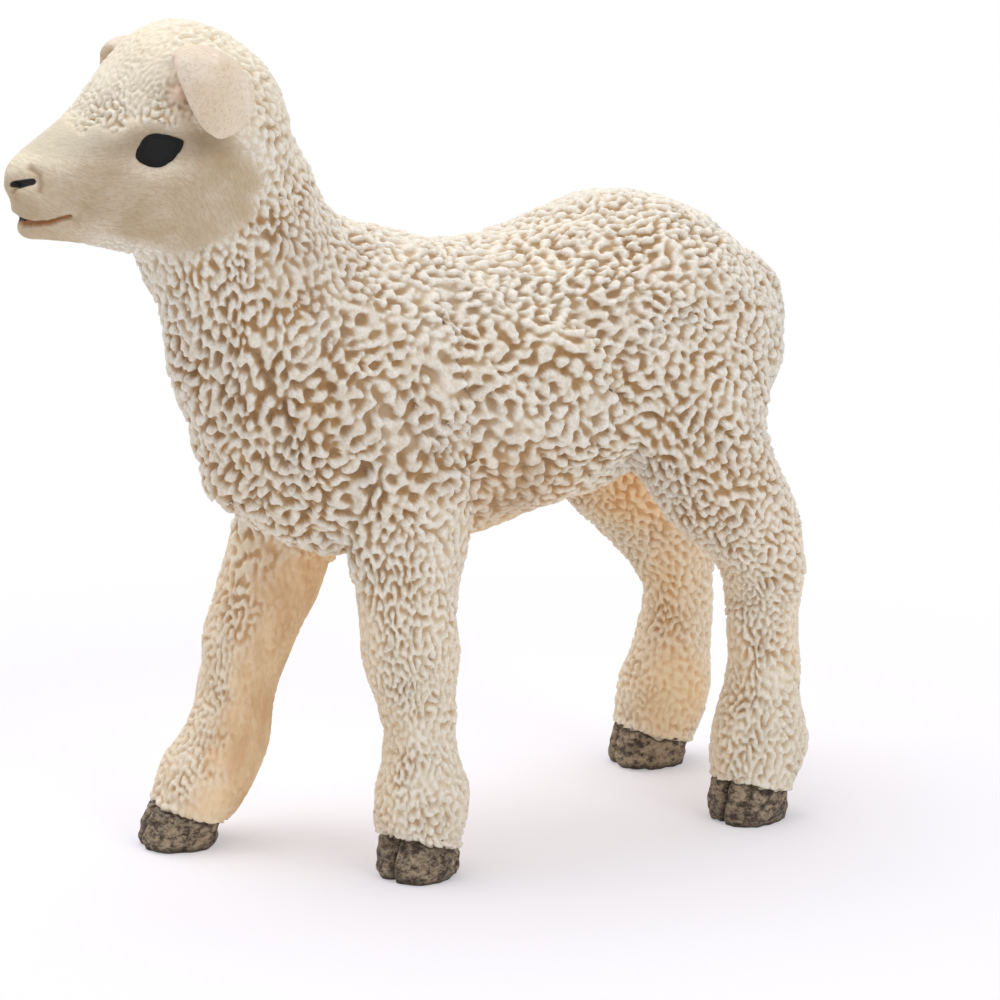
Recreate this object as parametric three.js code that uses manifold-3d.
// A toy lamb standing with its head up, one front foot stepping forward.
// Its parts plug together: trunk, head, ears, eyes, tail, four legs and four cloven hooves.
// Millimetres. The nose points along -Y, the lamb's left side is +X, and the soles stand on Z = 0.
import * as THREE from "three";
import { mergeVertices } from "three/addons/utils/BufferGeometryUtils.js";
import Module from "manifold-3d";

const wasm = await Module();
wasm.setup();

// Driving dimensions
const trunkLength = 38.2; // point of the chest to the back of the rump
const trunkWidth = 18.4; // across the ribs
const trunkDepth = 21.1; // brisket to the top of the rump
const bellyHeight = 19; // brisket above the floor
const chestOverhang = 10.4; // point of the chest ahead of the left front foot
const neckWidth = 11.4; // across the neck where the head plugs on
const neckGirth = 12; // throat to nape there, square to the neck
const neckReach = 10; // root of the neck to that joint
const neckLean = THREE.MathUtils.degToRad(28); // forward from upright
const neckSeatHeight = 41.4; // middle of the joint above the floor
const neckSeatLead = 9.9; // and how far that is ahead of the left front foot
const headLength = 17.5; // nose to the back of the skull
const headWidth = 12.4; // across the cheeks
const headDepth = 13.6; // jaw to crown
const headTurn = THREE.MathUtils.degToRad(-9); // the lamb looks a little to its right
const frontLegWidth = 6.4;
const steppingLegWidth = 6.9; // the right front leg, which steps forward
const frontLegReach = 31.4; // floor to the top of the shoulder
const hindLegWidth = 7.2;
const hindLegReach = 35.2; // floor to the top of the haunch
const frontStance = 12.8; // between the middles of the left and right front feet
const hindStance = 13.2;
const wheelbase = 23.6; // left front foot to left hind foot
const stride = 9.8; // how far the right front foot is set forward
const trail = 1.85; // how far the right hind leg is set back
const tuck = 1.1; // how far the right hind foot then comes forward again
const push = 3.6; // how much further forward the right thigh reaches than the left one
const hoofWidth = 4.8;
const hoofLength = 5; // toe to heel
const hoofHeight = 3; // at the toe
const heelHeight = 1.5;
const cleft = 0.4; // slot between the two claws of a hoof
const toeOut = THREE.MathUtils.degToRad(13);
const earLength = 7.4; // along its bend, from inside the skull to the tip
const earWidth = 4.8;
const earWall = 0.9;
const earDroop = 0.9; // how much lower and further forward the right ear hangs
const eyeLength = 3;
const eyeHeight = 2.15;
const eyeBulge = 0.5; // how far the eye stands out of its socket
const eyeSeat = 1; // and how deep it sits in it
const tailLength = 11.4;
const tailWidth = 4.4;
const tailThickness = 2.6;
const mouthLength = 3.4;
const mouthGap = 0.32;
const mouthDepth = 0.5;
const nostrilLength = 1.5;
const nostrilGap = 0.5;
const limbPegRadius = 1.3;
const limbPegLength = 1.5;
const hoofPegRadius = 0.9;
const hoofPegLength = 1.8;
const neckPegRadius = 2.6;
const neckPegLength = 3.2;
const tailPegRadius = 0.9;
const tailPegLength = 1.8;
const lockRow = 3.3; // from one row of wool locks to the next
const lockDepth = 0.5; // furrows between the locks
const clearance = 0.3; // glue gap between a part and its seat
const overrun = 40; // how far a cutting block reaches

const bodySteps = 42;
const bodyFacets = 44;
const skullSteps = 22;
const skullFacets = 26;
const limbSteps = 22;
const limbFacets = 16;
const smallSteps = 8;
const smallFacets = 14;

const upward = new THREE.Vector3(0, 0, 1);
const across = new THREE.Vector3(1, 0, 0);
const ahead = new THREE.Vector3(0, -1, 0);
const rodAxis = new THREE.Vector3(0, 1, 0);

// Materials, one for each kind of surface
const coats = {
  fleece: { color: 0xe9dcc3, roughness: 0.62, metalness: 0 },
  face: { color: 0xeadfc9, roughness: 0.58, metalness: 0 },
  ear: { color: 0xeed9c4, roughness: 0.58, metalness: 0 },
  hoof: { color: 0x6f6152, roughness: 0.6, metalness: 0 },
  eye: { color: 0x0b0b0c, roughness: 0.25, metalness: 0 },
};

// A closed geometry as a solid that can be joined and cut
function solidOf(geometry) {
  const bare = geometry.clone();
  bare.deleteAttribute("normal");
  bare.deleteAttribute("uv");
  const merged = mergeVertices(bare);
  return new wasm.Manifold(
    new wasm.Mesh({
      numProp: 3,
      vertProperties: merged.attributes.position.array,
      triVerts: new Uint32Array(merged.index.array),
    }),
  );
}

function geometryOf(solid) {
  const { vertProperties, triVerts } = solid.getMesh();
  const geometry = new THREE.BufferGeometry();
  geometry.setAttribute("position", new THREE.BufferAttribute(vertProperties, 3));
  geometry.setIndex(new THREE.BufferAttribute(triVerts, 1));
  geometry.computeVertexNormals();
  return geometry;
}

// Rows of numbers, one for each station, read smoothly from the first row (place 0) to the last (place 1)
function flowThrough(rows) {
  const columns = rows[0].map(
    (_, column) => new THREE.SplineCurve(rows.map((row, i) => new THREE.Vector2(i, row[column]))),
  );
  return (place) => columns.map((curve) => curve.getPoint(place).y);
}

// A rounded ring between a top and a bottom point.
// Its widest place lies a share of the way up from the bottom.
// Squareness 2 gives an ellipse, more gives fuller corners.
// Sunk gives how far the ring lies below that outline at an angle.
const roundSquareness = 2;
const middleShare = 0.5;
function roundedRing({ top, bottom, halfWidth, widestShare, squareness, facets, sunk = () => 0 }) {
  const depth = top.distanceTo(bottom);
  const up = top.clone().sub(bottom).normalize();
  const centre = bottom.clone().lerp(top, widestShare);
  const power = roundSquareness / squareness;
  return Array.from({ length: facets }, (_, i) => {
    const angle = (i / facets) * 2 * Math.PI;
    const sideways = Math.sign(Math.cos(angle)) * Math.abs(Math.cos(angle)) ** power;
    const upwards = Math.sign(Math.sin(angle)) * Math.abs(Math.sin(angle)) ** power;
    const reach = upwards > 0 ? (1 - widestShare) * depth : widestShare * depth;
    const arm = across.clone().multiplyScalar(halfWidth * sideways).addScaledVector(up, reach * upwards);
    return centre.clone().addScaledVector(arm, 1 - sunk(angle) / arm.length());
  });
}

// Locks of wool: low swellings in rows, each row half a lock further round than the last, and all swaying.
// Gives the depth of the furrows between them, at a distance along the part and an angle round it.
const lockSwayShare = 0.9;
function furrow(along, angle, locksAround) {
  const turn = locksAround * angle + lockSwayShare * Math.sin(along / lockRow);
  return (lockDepth / 2) * (1 - Math.cos(turn) * Math.cos((Math.PI * along) / lockRow));
}

function middleOf(points) {
  return points.reduce((sum, p) => sum.add(p), new THREE.Vector3()).divideScalar(points.length);
}

// One closed skin over a row of rings that all have as many points
function skin(rings) {
  const count = rings[0].length;
  const points = [...rings.flat(), middleOf(rings[0]), middleOf(rings.at(-1))];
  const lastRing = (rings.length - 1) * count;
  const start = lastRing + count;
  const end = start + 1;
  const faces = [];
  for (let j = 0; j < count; j += 1) {
    const next = (j + 1) % count;
    faces.push([start, next, j], [end, lastRing + j, lastRing + next]);
    for (let here = 0; here < lastRing; here += count) {
      const there = here + count;
      faces.push([here + j, here + next, there + next], [here + j, there + next, there + j]);
    }
  }
  const volumeOf = ([a, b, c]) => points[a].dot(points[b].clone().cross(points[c]));
  const volume = faces.reduce((sum, face) => sum + volumeOf(face), 0);
  const outward = volume > 0 ? faces : faces.map(([a, b, c]) => [a, c, b]);
  const geometry = new THREE.BufferGeometry().setFromPoints(points);
  geometry.setIndex(outward.flat());
  return geometry;
}

// A skin over rings at even steps along a flow of stations
function loft(rows, steps, ringAt) {
  const stations = flowThrough(rows);
  return skin(Array.from({ length: steps + 1 }, (_, i) => ringAt(stations(i / steps))));
}

// Everything beyond a plane, on the side that its normal points to
function beyond(point, normal) {
  const block = new THREE.BoxGeometry(2 * overrun, 2 * overrun, overrun).translate(0, 0, overrun / 2);
  const turn = new THREE.Quaternion().setFromUnitVectors(upward, normal);
  return solidOf(block.applyQuaternion(turn).translate(point.x, point.y, point.z));
}

// A round peg from one point towards another. Growth makes it the socket for that peg.
function peg(from, to, radius, growth) {
  const reach = from.distanceTo(to) + growth;
  const rod = new THREE.CylinderGeometry(radius + growth, radius + growth, reach, smallFacets);
  const direction = to.clone().sub(from).normalize();
  const turn = new THREE.Quaternion().setFromUnitVectors(rodAxis, direction);
  const middle = from.clone().addScaledVector(direction, reach / 2);
  return solidOf(rod.applyQuaternion(turn).translate(middle.x, middle.y, middle.z));
}

// A shape made for the left side, mirrored for the right side with its faces still outward
function onSide(geometry, side) {
  if (side > 0) {
    return geometry;
  }
  const corners = geometry.index.array;
  for (let i = 0; i < corners.length; i += 3) {
    [corners[i], corners[i + 1]] = [corners[i + 1], corners[i]];
  }
  return geometry.scale(-1, 1, 1);
}

// Trunk and neck: one skin from the rump to inside the skull
// Trunk rows: top line (along from the rump, up from the brisket), under line (along, up), half width
const rumpY = trunkLength - chestOverhang;
const trunkShares = [
  [0.0, 0.54, 0.0, 0.45, 0.05],
  [0.011, 0.635, 0.011, 0.375, 0.4],
  [0.04, 0.75, 0.04, 0.31, 0.67],
  [0.088, 0.855, 0.088, 0.265, 0.86],
  [0.16, 0.945, 0.16, 0.22, 0.967],
  [0.262, 0.986, 0.262, 0.16, 1.0],
  [0.366, 0.951, 0.37, 0.1, 1.0],
  [0.474, 0.894, 0.5, 0.05, 0.99],
  [0.578, 0.9, 0.63, 0.01, 0.967],
  [0.655, 0.938, 0.755, 0.0, 0.945],
  [0.718, 0.967, 0.88, 0.05, 0.913],
  [0.762, 0.994, 0.974, 0.185, 0.859],
];
// Neck rows: top line (along from the joint, out from the axis), under line (along, out), half width
const neckShares = [
  [-0.467, 0.52, -1.4, 0.668, 0.658],
  [-0.345, 0.488, -0.94, 0.617, 0.596],
  [-0.175, 0.488, -0.49, 0.525, 0.535],
  [0.0, 0.5, 0.0, 0.49, 0.5],
  [0.25, 0.47, 0.25, 0.47, 0.465],
  [0.45, 0.25, 0.45, 0.25, 0.26],
];
const bodyWidestShare = 0.48;
const bodySquareness = 2.2;
const bodyLocks = 11;
const neckAxis = new THREE.Vector3(0, -Math.sin(neckLean), Math.cos(neckLean));
const throatward = new THREE.Vector3(0, -Math.cos(neckLean), -Math.sin(neckLean));
const neckSeat = new THREE.Vector3(0, -neckSeatLead, neckSeatHeight);

function trunkRow([topAlong, topUp, underAlong, underUp, width]) {
  return [
    rumpY - topAlong * trunkLength,
    bellyHeight + topUp * trunkDepth,
    rumpY - underAlong * trunkLength,
    bellyHeight + underUp * trunkDepth,
    (width * trunkWidth) / 2,
  ];
}

function neckRow([topAlong, topOut, underAlong, underOut, width]) {
  const top = neckSeat
    .clone()
    .addScaledVector(neckAxis, topAlong * neckReach)
    .addScaledVector(throatward, -topOut * neckGirth);
  const under = neckSeat
    .clone()
    .addScaledVector(neckAxis, underAlong * neckReach)
    .addScaledVector(throatward, underOut * neckGirth);
  return [top.y, top.z, under.y, under.z, width * neckWidth];
}

// The line through the middles of the rings, drawn out where they widen, so that even steps follow both
class BodyLine extends THREE.Curve {
  constructor(stations) {
    super();
    this.stations = stations;
  }

  getPoint(place) {
    const [topY, topZ, underY, underZ, halfWidth] = this.stations(place);
    return new THREE.Vector3(halfWidth, (topY + underY) / 2, (topZ + underZ) / 2);
  }
}

function body() {
  const stations = flowThrough([...trunkShares.map(trunkRow), ...neckShares.map(neckRow)]);
  const line = new BodyLine(stations);
  const rings = Array.from({ length: bodySteps + 1 }, (_, i) => {
    const share = i / bodySteps;
    const [topY, topZ, underY, underZ, halfWidth] = stations(line.getUtoTmapping(share));
    const grown = THREE.MathUtils.smoothstep(halfWidth, lockRow / 2, 2 * lockRow);
    return roundedRing({
      top: new THREE.Vector3(0, topY, topZ),
      bottom: new THREE.Vector3(0, underY, underZ),
      halfWidth,
      widestShare: bodyWidestShare,
      squareness: bodySquareness,
      facets: bodyFacets,
      sunk: (angle) => grown * furrow(share * line.getLength(), angle, bodyLocks),
    });
  });
  return solidOf(skin(rings));
}

// Skull: upright rings from its back to the nose
// Rows: along the head, half width, top and bottom above the neck joint, how far the under line lags behind
const skullShares = [
  [0.01, 0.05, 0.33, 0.19, 0.0],
  [0.045, 0.52, 0.5, 0.06, 0.0],
  [0.12, 0.84, 0.645, -0.074, 0.0],
  [0.225, 0.97, 0.75, -0.147, 0.0],
  [0.348, 1.0, 0.809, -0.184, 0.0],
  [0.461, 0.95, 0.801, -0.206, 0.0],
  [0.562, 0.82, 0.728, -0.2, 0.0],
  [0.663, 0.68, 0.58, -0.165, 0.01],
  [0.764, 0.565, 0.432, -0.13, 0.02],
  [0.865, 0.475, 0.338, -0.115, 0.04],
  [0.944, 0.395, 0.265, -0.095, 0.06],
  [0.983, 0.265, 0.206, -0.045, 0.06],
  [1.0, 0.06, 0.132, 0.045, 0.045],
];
const skullBackShare = 0.256; // of the head's length, behind the neck joint
const cheekShare = 0.45;
const skullSquareness = 2.1;
const headPose = new THREE.Matrix4()
  .makeRotationZ(headTurn)
  .premultiply(new THREE.Matrix4().makeTranslation(neckSeat));

function skullY(along) {
  return (skullBackShare - along) * headLength;
}

// Inset gives a smaller skull inside the first one, which limits how deep a groove is cut
function skull(inset) {
  const shape = loft(skullShares, skullSteps, ([along, width, top, bottom, lag]) => {
    const shrink = Math.min(inset, (width * headWidth) / 4);
    return roundedRing({
      top: new THREE.Vector3(0, skullY(along), top * headDepth - shrink),
      bottom: new THREE.Vector3(0, skullY(along - lag), bottom * headDepth + shrink),
      halfWidth: (width * headWidth) / 2 - shrink,
      widestShare: cheekShare,
      squareness: skullSquareness,
      facets: skullFacets,
    });
  });
  return solidOf(shape.applyMatrix4(headPose));
}

// Mouth and nostrils: grooves in the surface of the muzzle
const mouthHeightShare = 0.022;
const mouthDrop = THREE.MathUtils.degToRad(5); // the corners of the mouth turn up a little
function mouth() {
  const slot = new THREE.BoxGeometry(headWidth, 2 * mouthLength, mouthGap)
    .rotateX(mouthDrop)
    .translate(0, skullY(1), mouthHeightShare * headDepth);
  return solidOf(slot.applyMatrix4(headPose)).subtract(skull(mouthDepth));
}

const nostrilAlongShare = 0.955;
const nostrilOutShare = 0.14;
const nostrilHeightShare = 0.2;
const nostrilFlare = new THREE.Euler(THREE.MathUtils.degToRad(-20), 0, THREE.MathUtils.degToRad(24));
function nostril(side) {
  const slit = new THREE.SphereGeometry(0.5, smallFacets, smallSteps)
    .scale(headWidth * nostrilOutShare, nostrilLength, nostrilGap)
    .applyQuaternion(new THREE.Quaternion().setFromEuler(nostrilFlare))
    .translate(headWidth * nostrilOutShare, skullY(nostrilAlongShare), nostrilHeightShare * headDepth);
  return solidOf(onSide(slit, side).applyMatrix4(headPose));
}

// Eyes: almond domes set into the skull
// Rows: out of the socket (or into it), size of the almond there
const eyeShares = [
  [-1.0, 0.7],
  [-0.5, 0.9],
  [0.0, 1.0],
  [0.45, 0.86],
  [0.8, 0.58],
  [1.0, 0.2],
];
const eyeAlongShare = 0.545;
const eyeHeightShare = 0.315;
const eyeOutShare = 0.372; // of the head's width, from the middle to the socket's rim
const eyeForward = THREE.MathUtils.degToRad(-20); // how far it looks forward
const eyeUpward = THREE.MathUtils.degToRad(-8);
const eyeSlant = THREE.MathUtils.degToRad(-14); // the front corner lies lower
const almondSquareness = 1.7;
function eye(side, growth) {
  const shape = loft(eyeShares, smallSteps, ([out, size]) => {
    const halfHeight = (size * eyeHeight) / 2 + growth;
    return roundedRing({
      top: new THREE.Vector3(0, halfHeight, 0),
      bottom: new THREE.Vector3(0, -halfHeight, 0),
      halfWidth: (size * eyeLength) / 2 + growth,
      widestShare: middleShare,
      squareness: almondSquareness,
      facets: smallFacets,
    }).map((point) => point.setZ(out > 0 ? out * eyeBulge + growth : out * eyeSeat - growth));
  });
  shape
    .rotateZ(eyeSlant)
    .rotateX(Math.PI / 2 + eyeUpward)
    .rotateZ(Math.PI / 2 + eyeForward)
    .translate(eyeOutShare * headWidth, skullY(eyeAlongShare), eyeHeightShare * headDepth);
  return solidOf(onSide(shape, side).applyMatrix4(headPose));
}

// Ears: cupped leaves that leave the skull sideways and droop
// Rows: out, back and up from the root, half width, wall, cup of the edges towards the head
const earShares = [
  [0.0, -0.02, 0.0, 0.2, 0.8, 0.02],
  [0.16, -0.01, 0.08, 0.3, 0.95, 0.04],
  [0.33, 0.02, 0.08, 0.43, 1.0, 0.1],
  [0.47, 0.06, -0.03, 0.5, 1.0, 0.16],
  [0.54, 0.09, -0.2, 0.49, 0.95, 0.16],
  [0.57, 0.1, -0.36, 0.43, 0.85, 0.12],
  [0.58, 0.08, -0.5, 0.28, 0.7, 0.06],
  [0.58, 0.07, -0.56, 0.07, 0.3, 0.0],
];
const earOutShare = 0.27; // of the head's width, from the middle to the root inside the skull
const earAlongShare = 0.4;
const earHeightShare = 0.68;
const earSweep = THREE.MathUtils.degToRad(8); // the leaf's width turns back and down
const bendStep = 0.02; // how far to look along the ear on each side to find its bend

function ear(side, growth) {
  const lower = side < 0 ? earDroop : 0;
  const root = new THREE.Vector3(
    earOutShare * headWidth,
    skullY(earAlongShare) - lower,
    earHeightShare * headDepth - lower,
  );
  const stations = flowThrough(earShares);
  const rings = Array.from({ length: smallSteps + 1 }, (_, i) => {
    const place = i / smallSteps;
    const [out, back, up, width, wall, cup] = stations(place);
    const [outNext, , upNext] = stations(Math.min(place + bendStep, 1));
    const [outLast, , upLast] = stations(Math.max(place - bendStep, 0));
    const bend = Math.atan2(upNext - upLast, outNext - outLast);
    const away = new THREE.Vector3(-Math.sin(bend), 0, Math.cos(bend));
    const edgeways = new THREE.Vector3(0, Math.cos(earSweep), -Math.sin(earSweep));
    const centre = new THREE.Vector3(out, back, up).multiplyScalar(earLength).add(root);
    return Array.from({ length: smallFacets }, (_, j) => {
      const angle = (j / smallFacets) * 2 * Math.PI;
      const sideways = Math.cos(angle) * (width * earWidth + growth);
      const through = Math.sin(angle) * ((wall * earWall) / 2 + growth);
      return centre
        .clone()
        .addScaledVector(edgeways, sideways)
        .addScaledVector(away, through - cup * earWidth * Math.cos(angle) ** 2);
    });
  });
  const shape = skin(rings);
  return solidOf(onSide(shape, side).applyMatrix4(headPose));
}

// Tail: hangs against the rump
// Rows: along from its root, back from the rump, half width, half thickness
const tailShares = [
  [0.0, -0.2, 0.3, 0.3],
  [0.1, -0.07, 0.42, 0.44],
  [0.25, 0.02, 0.48, 0.5],
  [0.45, 0.05, 0.5, 0.5],
  [0.65, 0.04, 0.48, 0.48],
  [0.85, 0.0, 0.38, 0.4],
  [0.96, -0.03, 0.22, 0.24],
  [1.0, -0.04, 0.04, 0.05],
];
const tailRootShare = 0.79; // of the trunk's depth, above the brisket
const tailPegShare = 0.3; // of the tail's length, below its root
function tail(growth) {
  const shape = loft(tailShares, smallSteps, ([along, back, width, thickness]) => {
    const y = rumpY + back * tailLength;
    const z = bellyHeight + tailRootShare * trunkDepth - along * tailLength;
    const halfThickness = thickness * tailThickness + growth;
    return roundedRing({
      top: new THREE.Vector3(0, y + halfThickness, z),
      bottom: new THREE.Vector3(0, y - halfThickness, z),
      halfWidth: width * tailWidth + growth,
      widestShare: middleShare,
      squareness: roundSquareness,
      facets: smallFacets,
    });
  });
  return solidOf(shape);
}

function tailPeg(growth) {
  const height = bellyHeight + tailRootShare * trunkDepth - tailPegShare * tailLength;
  const from = new THREE.Vector3(0, rumpY, height);
  const to = from.clone().addScaledVector(ahead, tailThickness / 2 + tailPegLength);
  return peg(from, to, tailPegRadius, growth);
}

// Legs: level rings from the foot to the top of the shoulder or haunch
// Rows: height, outward, forward, half width, reach to the front and to the back
const frontLegShares = [
  [0.02, 0.0, 0.0, 0.36, 0.36, 0.36],
  [0.08, 0.0, 0.0, 0.42, 0.42, 0.42],
  [0.16, 0.0, -0.02, 0.45, 0.47, 0.5],
  [0.25, 0.0, -0.02, 0.38, 0.38, 0.4],
  [0.32, 0.0, 0.01, 0.37, 0.38, 0.39],
  [0.39, 0.0, 0.06, 0.41, 0.44, 0.46],
  [0.46, 0.0, 0.08, 0.45, 0.49, 0.52],
  [0.56, -0.01, 0.09, 0.46, 0.51, 0.53],
  [0.65, -0.02, 0.07, 0.47, 0.59, 0.62],
  [0.78, -0.03, 0.08, 0.45, 0.7, 0.73],
  [0.89, -0.04, 0.05, 0.41, 0.68, 0.7],
  [0.97, -0.06, 0.03, 0.28, 0.48, 0.5],
  [1.0, -0.07, 0.02, 0.05, 0.08, 0.08],
];
const hindLegShares = [
  [0.015, 0.0, 0.0, 0.33, 0.35, 0.35],
  [0.07, 0.0, -0.07, 0.37, 0.39, 0.39],
  [0.12, 0.0, -0.12, 0.39, 0.47, 0.45],
  [0.17, 0.0, -0.13, 0.39, 0.46, 0.44],
  [0.225, 0.0, -0.15, 0.36, 0.4, 0.38],
  [0.285, 0.0, -0.17, 0.32, 0.35, 0.33],
  [0.345, 0.0, -0.17, 0.32, 0.34, 0.32],
  [0.4, 0.0, -0.16, 0.35, 0.37, 0.35],
  [0.445, 0.0, -0.14, 0.39, 0.42, 0.4],
  [0.5, 0.0, -0.06, 0.42, 0.49, 0.49],
  [0.56, 0.0, 0.15, 0.45, 0.62, 0.6],
  [0.62, 0.0, 0.32, 0.47, 0.7, 0.66],
  [0.7, -0.01, 0.45, 0.49, 0.86, 0.6],
  [0.78, -0.03, 0.46, 0.49, 0.96, 0.63],
  [0.88, -0.05, 0.47, 0.42, 0.83, 0.6],
  [0.965, -0.08, 0.5, 0.27, 0.5, 0.42],
  [1.0, -0.1, 0.5, 0.04, 0.07, 0.07],
];
const front = {
  rows: frontLegShares,
  reach: frontLegReach,
  width: frontLegWidth,
  stance: frontStance,
  footY: 0,
  pegShare: 0.75,
};
const hind = {
  rows: hindLegShares,
  reach: hindLegReach,
  width: hindLegWidth,
  stance: hindStance,
  footY: wheelbase,
  pegShare: 0.8125,
};
// Step is how far the foot is set forward, easing to nothing at a share of the leg's height.
// Thigh is how much further forward the leg swells, between two shares of the leg's height.
const thighShares = [0.3, 0.72];
const legs = {
  left_front: { ...front, side: 1, step: 0, easeShare: 1, thigh: 0 },
  right_front: { ...front, side: -1, width: steppingLegWidth, step: stride, easeShare: 0.74, thigh: 0 },
  left_hind: { ...hind, side: 1, step: 0, easeShare: 1, thigh: 0 },
  right_hind: { ...hind, side: -1, footY: wheelbase + trail, step: tuck, easeShare: 0.35, thigh: push },
};

function legStation(leg, [height, outward, forward, half, toFront, toBack]) {
  const [low, high] = thighShares;
  const lean = Math.max(1 - height / leg.easeShare, 0) * leg.step;
  const swell = THREE.MathUtils.smoothstep(height, low, (low + high) / 2);
  const fade = 1 - THREE.MathUtils.smoothstep(height, (low + high) / 2, high);
  const centre = new THREE.Vector3(
    leg.side * (leg.stance / 2 + outward * leg.width),
    leg.footY - forward * leg.width - lean,
    height * leg.reach,
  );
  return {
    centre,
    halfWidth: half * leg.width,
    toFront: toFront * leg.width + leg.thigh * swell * fade,
    toBack: toBack * leg.width,
  };
}

// Locks grow on a leg's outer side, from a share of its height upwards
const legLocks = 4;
const legWoolShares = [0.12, 0.3];
function legFurrow(leg, height, angle) {
  const grown = THREE.MathUtils.smoothstep(height, ...legWoolShares);
  const outer = THREE.MathUtils.smoothstep(leg.side * Math.cos(angle), -0.5, 0.5);
  return grown * outer * furrow(height * leg.reach, angle, legLocks);
}

function limb(leg, growth) {
  const shape = loft(leg.rows, limbSteps, (row) => {
    const { centre, halfWidth, toFront, toBack } = legStation(leg, row);
    centre.z += row[0] * growth;
    return roundedRing({
      top: centre.clone().addScaledVector(ahead, toFront + growth),
      bottom: centre.clone().addScaledVector(ahead, -toBack - growth),
      halfWidth: halfWidth + growth,
      widestShare: (toBack + growth) / (toFront + toBack + 2 * growth),
      squareness: roundSquareness,
      facets: limbFacets,
      sunk: (angle) => legFurrow(leg, row[0], angle),
    });
  });
  return solidOf(shape);
}

function limbPeg(leg, growth) {
  const { centre, halfWidth } = legStation(leg, flowThrough(leg.rows)(leg.pegShare));
  const to = centre.clone().addScaledVector(across, -leg.side * (halfWidth + limbPegLength));
  return peg(centre, to, limbPegRadius, growth);
}

// Hooves: cloven, with a sloping front wall
// Rows: height, half width, reach to the toe and to the heel
const hoofShares = [
  [0.0, 0.42, 0.42, 0.41],
  [0.14, 0.49, 0.51, 0.48],
  [0.5, 0.5, 0.46, 0.49],
  [1.0, 0.46, 0.37, 0.46],
  [1.1, 0.45, 0.35, 0.45],
];
const hoofSquareness = 2.5;
const cleftShare = 0.48; // of the hoof's length, from the toe
const hoofPegSetBack = hoofLength * (cleftShare - 0.5) + hoofPegRadius + clearance;

function footPose(leg) {
  return new THREE.Matrix4()
    .makeRotationZ(leg.side * toeOut)
    .premultiply(
      new THREE.Matrix4().makeTranslation((leg.side * leg.stance) / 2, leg.footY - leg.step, 0),
    );
}

// The plane where the hoof meets the leg, higher at the toe, raised by an offset
function coronet(leg, offset, direction) {
  const slope = Math.atan2(hoofHeight - heelHeight, hoofLength);
  const normal = new THREE.Vector3(0, Math.sin(slope), Math.cos(slope)).transformDirection(footPose(leg));
  const point = new THREE.Vector3(0, 0, (hoofHeight + heelHeight) / 2).applyMatrix4(footPose(leg));
  return beyond(point.addScaledVector(normal, offset), normal.multiplyScalar(direction));
}

function hoofPeg(leg, growth) {
  const pose = footPose(leg);
  const from = new THREE.Vector3(0, hoofPegSetBack, heelHeight / 2).applyMatrix4(pose);
  const to = new THREE.Vector3(0, hoofPegSetBack, hoofHeight + hoofPegLength).applyMatrix4(pose);
  return peg(from, to, hoofPegRadius, growth);
}

function hoof(leg) {
  const wall = loft(hoofShares, smallSteps, ([height, half, toToe, toHeel]) =>
    roundedRing({
      top: new THREE.Vector3(0, -toToe * hoofLength, height * hoofHeight),
      bottom: new THREE.Vector3(0, toHeel * hoofLength, height * hoofHeight),
      halfWidth: half * hoofWidth,
      widestShare: toHeel / (toToe + toHeel),
      squareness: hoofSquareness,
      facets: smallFacets,
    }),
  );
  const slot = new THREE.BoxGeometry(cleft, hoofLength, overrun)
    .translate(0, hoofLength * (cleftShare - 1), 0)
    .applyMatrix4(footPose(leg));
  return solidOf(wall.applyMatrix4(footPose(leg)))
    .intersect(coronet(leg, -clearance / 2, -1))
    .subtract(solidOf(slot))
    .add(hoofPeg(leg, 0));
}

// Putting the lamb together: every part is cut to sit in its neighbour with the glue gap all round
const lamb = new THREE.Group();

function place(name, solid, coat) {
  const mesh = new THREE.Mesh(geometryOf(solid), new THREE.MeshStandardMaterial(coats[coat]));
  mesh.name = name;
  lamb.add(mesh);
}

function neckPeg(growth) {
  const inside = neckSeat.clone().addScaledVector(neckAxis, neckPegLength);
  const below = neckSeat.clone().addScaledVector(neckAxis, -neckPegLength);
  return peg(inside, below, neckPegRadius, growth);
}

const wholeBody = body();
const seatAbove = neckSeat.clone().addScaledVector(neckAxis, clearance / 2);
const seatBelow = neckSeat.clone().addScaledVector(neckAxis, -clearance / 2);

let head = wholeBody
  .intersect(beyond(seatAbove, neckAxis))
  .add(skull(0).intersect(beyond(seatAbove, neckAxis)))
  .add(neckPeg(0))
  .subtract(mouth());
let trunk = wholeBody.subtract(beyond(seatBelow, neckAxis)).subtract(neckPeg(clearance));

for (const [word, side] of [["left", 1], ["right", -1]]) {
  head = head.subtract(eye(side, clearance)).subtract(ear(side, clearance)).subtract(nostril(side));
  place(`${word}_eye`, eye(side, 0), "eye");
  place(`${word}_ear`, ear(side, 0), "ear");
}

trunk = trunk.subtract(tail(clearance)).subtract(tailPeg(clearance));
place("tail", tail(0).add(tailPeg(0)), "fleece");

for (const [word, leg] of Object.entries(legs)) {
  trunk = trunk.subtract(limb(leg, clearance)).subtract(limbPeg(leg, clearance));
  const fitted = limb(leg, 0)
    .add(limbPeg(leg, 0))
    .intersect(coronet(leg, clearance / 2, 1))
    .subtract(hoofPeg(leg, clearance));
  place(`${word}_leg`, fitted, "fleece");
  place(`${word}_hoof`, hoof(leg), "hoof");
}

place("trunk", trunk, "fleece");
place("head", head, "face");

// The middle of the footprint goes to the origin, with the soles on the floor
const bounds = new THREE.Box3().setFromObject(lamb);
const middle = bounds.getCenter(new THREE.Vector3());
lamb.position.set(-middle.x, -middle.y, -bounds.min.z);
lamb.updateMatrixWorld(true);

export default lamb;
